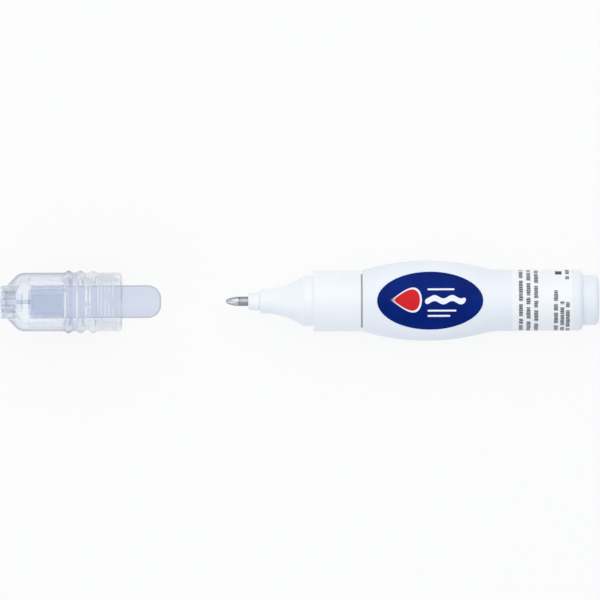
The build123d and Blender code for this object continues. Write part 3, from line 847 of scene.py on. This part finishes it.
def noseLine():
    # a hollow arc from the holder to the collar, then collar, flange, skirt and the bores inside
    form = noseForm
    frontRadius = holderRadius + form["flareLip"]
    flareEnd = sleeveStart - form["collarLength"]
    length, rise = flareEnd - noseFront, collarRadius - frontRadius
    arcRadius = levelArc(length, rise)
    sweep = np.linspace(form["flareStart"], math.asin(length / arcRadius), form["flareRows"])
    flare = np.column_stack([
        noseFront + arcRadius * np.sin(sweep), frontRadius + arcRadius * (1 - np.cos(sweep))
    ])
    flangeEnd = landEnd + form["flangeThickness"]
    skirtRadius = neckRadius - form["skirtDrop"]
    skirtBore = skirtRadius - form["skirtWall"]
    seatStart, seatRadius = retainerEnd - form["retainerLength"], retainerRadius + form["fit"]
    nose = filletedLine(
        (noseFront, form["shankBore"], 0),
        (noseFront, frontRadius, form["edgeRound"]),
        (*flare[0], 0),
    )
    rear = filletedLine(
        (*flare[-1], 0),
        (sleeveStart, collarRadius, 0),
        (sleeveStart, landRadius, 0),
        (landEnd, landRadius, 0),
        (landEnd, neckRadius, 0),
        (flangeEnd, neckRadius, 0),
        (flangeEnd, skirtRadius, 0),
        (skirtEnd, skirtRadius, form["skirtRound"]),
        (skirtEnd, skirtBore, form["skirtRound"]),
        (retainerEnd, skirtBore, 0),
        (retainerEnd, seatRadius, 0),
        (seatStart, seatRadius, 0),
        (seatStart, form["chamberRadius"], 0),
        (holderEnd, form["chamberRadius"], 0),
        (holderEnd, form["shankBore"], 0),
        (noseFront, form["shankBore"], 0),
    )
    return np.vstack([nose, flare[1:-1], rear])


nose = turnedPiece("noseCone", noseLine())
fitted(nose, glossWhite, "pen", "white_plastic", "nose_cone")

holderForm = {
    "frontRadius": 1.87, "edgeRound": 0.25, "grooveWidth": 0.3, "grooveDepth": 0.2, "grooveRound": 0.06,
    "socketRadius": 0.82, "socketDepth": 3.6, "shankRadius": 1.55, "feedRadius": 0.5,
}
grooveStart = noseFront - holderForm["grooveWidth"]
grooveRadius = holderRadius - holderForm["grooveDepth"]
holderLine = filletedLine(
    (holderFront, holderForm["socketRadius"], 0),
    (holderFront, holderForm["frontRadius"], holderForm["edgeRound"]),
    (grooveStart, holderRadius, holderForm["grooveRound"]),
    (grooveStart, grooveRadius, 0),
    (noseFront, grooveRadius, 0),
    (noseFront, holderForm["shankRadius"], 0),
    (holderEnd, holderForm["shankRadius"], 0),
    (holderEnd, holderForm["feedRadius"], 0),
    (holderFront + holderForm["socketDepth"], holderForm["feedRadius"], 0),
    (holderFront + holderForm["socketDepth"], holderForm["socketRadius"], 0),
    (holderFront, holderForm["socketRadius"], 0),
)
holder = turnedPiece("tipHolder", holderLine)
fitted(holder, glossWhite, "pen", "white_plastic", "tip_holder")


# Metal tip and its ball

tipForm = {
    "straightLength": 2.1,     # cylinder between the holder and the ogive
    "lipWall": 0.1,
    "lipOverlap": 0.07,        # the lip closes this far over the ball
    "seatGap": 0.015,
    "seatRows": 8,
    "shoulder": 0.25,
    "shoulderRound": 0.08,
    "endRound": 0.05,
    "feedRadius": 0.5,
    "capillaryRadius": 0.3,
    "pressTravel": 0.25,       # how far the ball can be pushed in
    "capillaryLength": 0.9,
    "grooveDepth": 0.05,       # fine turned groove behind the ogive
    "groove": (0.05, 0.12, 0.17),    # from the ogive to the groove's floor, along it, and up again
    "ogiveRows": 40,
    "columns": 96,
}
ogiveEnd = holderFront - tipForm["straightLength"]


def tipLine():
    # an ogive arc from the lip to the straight shank, then the stepped bore back to the ball's seat
    form = tipForm
    seatRadius = ballRadius + form["seatGap"]
    lipRadius = ballRadius - form["lipOverlap"]
    length, rise = ogiveEnd - tipFront, tipRadius - lipRadius - form["lipWall"]
    arcRadius = levelArc(length, rise)
    sweep = np.linspace(math.asin(length / arcRadius), 0, form["ogiveRows"])
    ogive = np.column_stack([
        ogiveEnd - arcRadius * np.sin(sweep), tipRadius - arcRadius * (1 - np.cos(sweep))
    ])
    shankRadius = tipRadius - form["shoulder"]
    seatBack = ballCentre + form["pressTravel"]
    funnelEnd = seatBack + seatRadius
    capillaryEnd = funnelEnd + form["capillaryLength"]
    grooveRadius = tipRadius - form["grooveDepth"]
    floorStart, floorEnd, grooveEnd = (ogiveEnd + reach for reach in form["groove"])
    shank = filletedLine(
        (*ogive[-1], 0),
        (floorStart, grooveRadius, 0),
        (floorEnd, grooveRadius, 0),
        (grooveEnd, tipRadius, 0),
        (holderFront, tipRadius, form["shoulderRound"]),
        (holderFront, shankRadius, 0),
        (tipEnd, shankRadius, form["endRound"]),
        (tipEnd, form["feedRadius"], 0),
        (capillaryEnd, form["feedRadius"], 0),
        (capillaryEnd, form["capillaryRadius"], 0),
        (funnelEnd, form["capillaryRadius"], 0),
        (seatBack, seatRadius, 0),
        (ballCentre, seatRadius, 0),
    )
    closing = np.linspace(0, math.acos(lipRadius / seatRadius), form["seatRows"])
    seat = np.column_stack([ballCentre - seatRadius * np.sin(closing), seatRadius * np.cos(closing)])
    return np.vstack([ogive[:-1], shank[:-1], seat, ogive[:1]])


tip = turnedPiece("metalTip", tipLine(), tipForm["columns"])
tipSteel = turnedSteel("tipSteel", steelForm, ogiveEnd)
fitted(tip, tipSteel, "pen", "polished_steel", "metal_tip")

ballForm = {"rows": 33, "columns": 64}
ballTurn = np.linspace(0, math.pi, ballForm["rows"])
ballLine = np.column_stack([ballCentre - ballRadius * np.cos(ballTurn), ballRadius * np.sin(ballTurn)])
ball = turnedPiece("writingBall", ballLine, ballForm["columns"])
fitted(ball, steel, "ball", "polished_steel", "writing_ball")


# Tail plug

tailForm = {
    "wall": 1.1,
    "fit": 0.02,
    "endRound": 1.2,
    "frontRound": 0.2,
    "floorRound": 0.5,
    "beadSetback": 2.6,
    "bead": (0.4, 0.2, 0.15),    # half widths of the snap bead at its foot and top, and its height
}
tailInsert = barrelRadius - barrelForm["wall"] - tailForm["fit"]
tailBore = tailInsert - tailForm["wall"]
tailFloor = tailEnd - tailForm["wall"]
tailLine = filletedLine(
    (tailFloor, 0, 0),
    (tailFloor, tailBore, tailForm["floorRound"]),
    (tailFront, tailBore, 0),
    (tailFront, tailInsert, tailForm["frontRound"]),
    *snapBead(barrelRear - tailForm["beadSetback"], tailInsert, tailForm["bead"], 0),
    (barrelRear, tailInsert, 0),
    (barrelRear, collarRadius, 0),
    (tailEnd, collarRadius, tailForm["endRound"]),
    (tailEnd, 0, 0),
)
tail = turnedPiece("tailPlug", tailLine)
fitted(tail, satinWhite, "pen", "white_plastic", "tail_plug")


# Labels

labelForm = {
    "film": 0.1,
    "fit": 0.02,
    "rings": 56,                           # rows from the oval's middle to its edge
    "wrapOpen": math.radians(10.0),        # angle left bare underneath the barrel
    "wrapRows": 32,
}


def barrelTop(place, across):  # height of the barrel's upper side at a spot seen from above
    sideRadius, sideCentre, faceRadius, faceCentre = ovalArcs(*bulgeAxes(place))
    faceReach = faceRadius * math.sin(surfaceForm["faceAngle"])
    onFace = np.sqrt(faceRadius**2 - across**2) - faceCentre
    onSide = np.sqrt(np.maximum(sideRadius**2 - (np.abs(across) - sideCentre) ** 2, 0))
    return np.where(np.abs(across) <= faceReach, onFace, onSide)


def badgeGrid():  # rings that shrink to the middle, over the film's top and then under it
    form = labelForm
    share = np.concatenate([np.linspace(0, 1, form["rings"]), np.linspace(1, 0, form["rings"])])[:, None]
    lift = np.repeat([form["film"] + form["fit"], form["fit"]], form["rings"])[:, None]
    turn = fullTurn(surfaceForm["columns"])[None]
    place = badgeCentre + (badgeEnd - badgeStart) / 2 * share * np.cos(turn)
    across = badgeHalf * share * np.sin(turn)
    return np.stack([place, across, barrelTop(place, across) + lift], -1)


badge = skinned("ovalLabel", badgeGrid())
fitted(badge, badgePrint("ovalLabelFilm", badgeForm, badgeCentre), "pen", "oval_film", "oval_label")


def wrapGrid():  # the film's narrow section carried round the barrel, open by a few degrees underneath
    form = labelForm
    reach = math.pi - form["wrapOpen"] / 2
    turn = np.linspace(-reach, reach, surfaceForm["columns"])[:, None]
    along = np.linspace(wrapStart, wrapEnd, form["wrapRows"])
    place = np.concatenate([along, along[::-1]])[None]
    radius = np.repeat([wrapRadius, wrapRadius - form["film"]], len(along))[None]
    return closedEnds(np.stack([place + 0 * turn, radius * np.sin(turn), radius * np.cos(turn)], -1))


wrap = skinned("wrapLabel", wrapGrid())
fitted(wrap, wrapPrint("wrapLabelFilm", wrapForm, wrapStart), "pen", "wrap_film", "wrap_label")


# Clear cap with its clip

capForm = {
    "reach": 9.1,                 # the tongue stands this far past the rim
    "radius": 6.73,
    "rimRound": 0.65,
    "bore": 5.77,
    "mouthChamfer": 0.2,
    "mouthDepth": 12.9,
    "innerRadius": 4.17,          # of the chamber behind the mouth
    "stepRounds": (0.2, 0.15),    # at the mouth's end and at the chamber's edge
    "floorRound": 0.3,
    "shoulder": 23.6,
    "shoulderRound": 3.0,
    "length": 26.9,
    "endRadius": 3.4,
    "endRound": 0.35,
    "recess": (22.85, 2.3),       # where the hollow crown ends, and its radius
    "recessRounds": (0.3, 0.2),   # at its floor and at its edge
    "rings": (6.6, 9.45, 12.3),
    "ringHeight": 0.52,
    "ringWidth": 2.5,
    "grooves": (1.3, 0.75, 7),    # fine rings inside the mouth: the first place, their spacing and count
    "grooveDepth": 0.1,
    "grooveWidth": 0.6,
    "columns": 144,
    "rowStep": 0.13,              # close rows, so that rings and grooves come out round
}
clipForm = {
    "half": 3.75,
    "height": (7.5, 8.8),         # underside and top
    "tipRound": 3.0,              # corners of the tongue's free end
    "rootRound": 0.3,             # corners of its root and of the pedestal
    "edges": (0.1, 0.3),          # rounds along its underside and top
    "flat": (13.3, 24.25, 5.17),  # start, end inside the crown block, and height of the flat under the clip
    "flatCut": (8.0, 12.0, 0.4),  # half width, top and corners of the slab that cuts it
    "pedestal": (13.3, 20.8),     # where the clip's foot starts and ends
    "pedestalInset": 0.03,
    "pedestalSink": (0.3, 0.4),   # how far it reaches into the cap and into the clip
    "rib": (0.3, 0.95),           # from the pedestal's start, and into the crown block
    "ribHalf": 0.475,
    "ribSink": (0.4, 0.3),        # into the cap, and below the clip's top
    "ribRounds": (0.1, 0.2),      # of its corners and along its top
    "crown": (24.2, 27.8, 3.0),   # start, end and bottom of the crown block
    "crownCorners": (2.0, 0.15),  # rounds at its far end and towards the clip
    "crownEdge": 0.25,
    "grooves": (-2.325, -0.775, 0.775, 2.325),    # middles of the grooves in its top
    "groove": {
        "half": 0.3, "depth": 0.45, "length": 2.4, "corner": 0.1, "floorRound": 0.12,
        "overrun": 1.0,           # how far the cut goes past the block
    },
}
capRim = tongueEnd - capForm["reach"]


def capSpan(near, far):  # a stretch behind the rim, as (low, top) along the pen
    return (capRim - far, capRim - near)


def swell(place, centre, width):  # a round hump, 1 at its centre and 0 from half its width on
    return np.cos(np.clip((place - centre) / width, -0.5, 0.5) * math.pi) ** 2


def capLine():  # recess, crown, cone, ringed side, rim, mouth with its step, and the chamber's floor
    form = capForm
    recessDepth, recessRadius = form["recess"]
    recessFloor, recessEdge = form["recessRounds"]
    mouthEnd, chamberEdge = form["stepRounds"]
    firstGroove, grooveSpacing, grooveCount = form["grooves"]
    chamberFloor = capRim - sealEnd
    line = filletedLine(
        (recessDepth, 0, 0),
        (recessDepth, recessRadius, recessFloor),
        (form["length"], recessRadius, recessEdge),
        (form["length"], form["endRadius"], form["endRound"]),
        (form["shoulder"], form["radius"], form["shoulderRound"]),
        (0, form["radius"], form["rimRound"]),
        (0, form["bore"] + form["mouthChamfer"], 0),
        (form["mouthChamfer"], form["bore"], 0),
        (form["mouthDepth"], form["bore"], mouthEnd),
        (form["mouthDepth"], form["innerRadius"], chamberEdge),
        (chamberFloor, form["innerRadius"], form["floorRound"]),
        (chamberFloor, 0, 0),
        step=form["rowStep"],
    )
    place, radius = line.T
    outside = np.abs(radius - form["radius"]) < surfaceForm["same"]
    inBore = np.abs(radius - form["bore"]) < surfaceForm["same"]
    ring = sum(swell(place, centre, form["ringWidth"]) for centre in form["rings"])
    grooves = firstGroove + grooveSpacing * np.arange(grooveCount)
    groove = sum(swell(place, centre, form["grooveWidth"]) for centre in grooves)
    radius = radius + outside * ring * form["ringHeight"] + inBore * groove * form["grooveDepth"]
    return np.column_stack([capRim - place, radius])


def buildCap():  # the turned cap, with slabs joined on for the clip and cut out for its flat and grooves
    form, groove = clipForm, clipForm["groove"]
    half, (clipLow, clipTop) = form["half"], form["height"]
    flatStart, flatEnd, flatHeight = form["flat"]
    cutHalf, cutTop, cutRound = form["flatCut"]
    footStart, footEnd = form["pedestal"]
    footHalf = half - form["pedestalInset"]
    footSink, headSink = form["pedestalSink"]
    ribSetback, ribReach = form["rib"]
    ribSink, ribDrop = form["ribSink"]
    ribCorner, ribTop = form["ribRounds"]
    crownStart, crownEnd, crownLow = form["crown"]
    farRound, nearRound = form["crownCorners"]
    cap = turnedPiece("clearCap", capLine(), capForm["columns"])
    flat = skinned("flatCut", slabGrid(
        capSpan(flatStart, flatEnd), (-cutHalf, cutHalf), (flatHeight, cutTop), (cutRound,) * 4, (0, 0)
    ))
    tongue = skinned("tongue", slabGrid(
        (capRim - footEnd, tongueEnd), (-half, half), form["height"],
        (form["rootRound"], form["tipRound"], form["tipRound"], form["rootRound"]), form["edges"],
    ))
    pedestal = skinned("pedestal", slabGrid(
        capSpan(footStart, footEnd), (-footHalf, footHalf), (flatHeight - footSink, clipLow + headSink),
        (form["rootRound"],) * 4, (0, 0),
    ))
    rib = skinned("rib", slabGrid(
        capSpan(footStart + ribSetback, crownStart + ribReach), (-form["ribHalf"], form["ribHalf"]),
        (flatHeight - ribSink, clipTop - ribDrop), (ribCorner,) * 4, (0, ribTop),
    ))
    block = skinned("crownBlock", slabGrid(
        capSpan(crownStart, crownEnd), (crownLow, clipTop), (-half, half),
        (farRound, nearRound, nearRound, farRound), (form["crownEdge"],) * 2, (0, 2, 1),
    ))
    grooves = skinned("crownGrooves", *[
        slabGrid(
            capSpan(crownEnd - groove["length"], crownEnd + groove["overrun"]),
            (centre - groove["half"], centre + groove["half"]),
            (clipTop - groove["depth"], clipTop + groove["overrun"]),
            (groove["corner"],) * 4, (groove["floorRound"], 0),
        )
        for centre in form["grooves"]
    ])
    return cutTogether(
        cap, ("DIFFERENCE", flat), ("UNION", tongue), ("UNION", pedestal), ("UNION", rib),
        ("UNION", block), ("DIFFERENCE", grooves),
    )


clipShape = (clipForm["half"], clipForm["tipRound"], tongueEnd)
clear = clearPlastic(
    "clearCapPlastic", clearForm, capRim, clipForm["crown"][0], clipForm["grooves"], clipShape
)
fitted(buildCap(), clear, "cap", "clear_plastic", "cap_shell")

sealForm = {"boreRadius": 2.35, "baseThickness": 1.0, "endRound": 0.2, "mouthRound": 0.3, "columns": 128}
sealFloor = sealEnd + sealForm["baseThickness"]
sealLine = filletedLine(
    (sealEnd, 0, 0),
    (sealEnd, sealRadius, sealForm["endRound"]),
    (sealMouth, sealRadius, sealForm["endRound"]),
    (sealMouth, sealForm["boreRadius"], sealForm["mouthRound"]),
    (sealFloor, sealForm["boreRadius"], sealForm["mouthRound"]),
    (sealFloor, 0, 0),
)
capSeal = turnedPiece("capSeal", sealLine, sealForm["columns"])
fitted(capSeal, seal, "cap", "seal_rubber", "cap_seal")


# Valve spring, built at rest; in the pen it gets shorter as the ball is pressed

springForm = {"wire": 0.3, "turns": 7.5, "rows": 360, "columns": 16}


def springGrid(form):  # a helix, with a ring of wire radius round each of its points, across its heading
    half = form["wire"] / 2
    share = np.linspace(0, 1, form["rows"])
    turn = share * 2 * math.pi * form["turns"]
    radius, length = springRadius - half, springEnd - springStart - form["wire"]
    outward = np.column_stack([0 * turn, np.cos(turn), np.sin(turn)])
    sideways = np.column_stack([0 * turn, -np.sin(turn), np.cos(turn)])
    centre = outward * radius + np.outer(springStart + half + length * share, (1, 0, 0))
    heading = sideways * radius + np.array([length / (2 * math.pi * form["turns"]), 0, 0])
    upright = np.cross(heading / np.linalg.norm(heading, axis=1)[:, None], outward)
    ring = fullTurn(form["columns"])[None, :, None]
    around = outward[:, None] * np.cos(ring) + upright[:, None] * np.sin(ring)
    return closedEnds(centre[:, None] + half * around)


spring = skinned("valveSpring", springGrid(springForm))
fitted(spring, steel, "pen", "polished_steel", "valve_spring")
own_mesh(spring)


# Pieces inside, which keep their CAD shape

insideFinishes = {
    "neck_gasket": rubber,
    "spring_retainer": glossWhite,
    "valve_rod": steel,
    "mixing_ball": steel,
}
for node, material in insideFinishes.items():
    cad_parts[node].material_slots[0].material = material
print("inner pieces finished:", len(insideFinishes))


# Floor, light and camera

stageForm = {
    "floorHalf": 2.0,                        # metres
    "floorColour": (0.86, 0.86, 0.86, 1.0),
    "floorWhite": 0.85,                      # share of plain white in what the eye, metal and glass see of it
    "worldLow": (0.67, 0.73, 0.86, 1.0),     # light from near the horizon
    "worldHigh": (0.51, 0.54, 0.58, 1.0),    # light from overhead
    "worldRise": (0.1, 0.9),                 # heights between which the one goes over into the other
    # where each lamp stands and how wide it is, in metres, its power in watts and its colour
    "lamps": {
        "keyLamp": {"from": (0.02, 0.30, 0.58), "size": 0.9, "power": 2.1, "colour": (1.0, 0.97, 0.84)},
        "fillLamp": {"from": (-0.4, -0.35, 0.5), "size": 0.7, "power": 0.9, "colour": (0.96, 0.98, 1.0)},
    },
}
cameraForm = {
    "distance": 3.0,            # metres above the pen's axis
    "frameWidth": 0.13793,      # metres across the picture at that distance
    "centre": (-0.00306, 0.00025),    # the spot in the middle of the picture
    "roll": math.radians(-0.2),
    "clipEnd": 10.0,            # metres
}


def buildFloor(form):  # a matt floor that the eye, metal and glass see as nearly white
    half, height = form["floorHalf"], cadBox[0].z
    mesh = bpy.data.meshes.new("floor")
    corners = [(-half, -half, height), (half, -half, height), (half, half, height), (-half, half, height)]
    mesh.from_pydata(corners, [], [(0, 1, 2, 3)])
    floor = placed("floor", mesh)
    material, start = newFinish("paleFloor")
    seen = start.node("ShaderNodeLightPath", {}, {}, "Is Camera Ray")
    for ray in ("Is Glossy Ray", "Is Transmission Ray"):
        seen = seen.most(start.node("ShaderNodeLightPath", {}, {}, ray))
    matt = start.node("ShaderNodeBsdfDiffuse", {}, {"Color": form["floorColour"]})
    white = start.node("ShaderNodeEmission", {}, {"Color": (1, 1, 1, 1), "Strength": 1.0})
    mixed = start.node("ShaderNodeMixShader", {}, {0: seen * form["floorWhite"], 1: matt, 2: white})
    start.node("ShaderNodeOutputMaterial", {}, {"Surface": mixed})
    mesh.materials.append(material)


def buildWorld(form):  # soft light from all round, bluer near the horizon
    world = bpy.data.worlds.new("paleStudio")
    world.use_nodes = True
    world.node_tree.nodes.clear()
    start = Socket(world.node_tree)
    way = start.node("ShaderNodeTexCoord", {}, {}, "Generated")
    height = start.node("ShaderNodeSeparateXYZ", {}, {0: way}, 2)
    sky = height.rise(*form["worldRise"]).blend(form["worldLow"], form["worldHigh"])
    light = start.node("ShaderNodeBackground", {}, {"Color": sky, "Strength": 1.0})
    start.node("ShaderNodeOutputWorld", {}, {"Surface": light})
    bpy.context.scene.world = world


def buildLamps(form):  # round lamps turned towards the middle of the part
    middle = cadBox[0].lerp(cadBox[1], 0.5)
    for name, lamp in form["lamps"].items():
        data = bpy.data.lights.new(name, "AREA")
        data.shape = "DISK"
        data.size = lamp["size"]
        data.energy = lamp["power"]
        data.color = lamp["colour"]
        light = placed(name, data)
        light.location = lamp["from"]
        light.rotation_mode = "QUATERNION"
        light.rotation_quaternion = (middle - light.location).to_track_quat("-Z", "Y")


def buildCamera(form):  # straight above the part, looking down
    data = bpy.data.cameras.new("camera")
    data.lens = data.sensor_width * form["distance"] / form["frameWidth"]
    data.clip_end = form["clipEnd"]
    camera = placed("camera", data)
    camera.location = (*form["centre"], form["distance"])
    camera.rotation_euler = (0, 0, form["roll"])
    bpy.context.scene.camera = camera


buildFloor(stageForm)
buildWorld(stageForm)
buildLamps(stageForm)
buildCamera(cameraForm)
bpy.context.scene.view_settings.view_transform = "Standard"
print("stage ready")
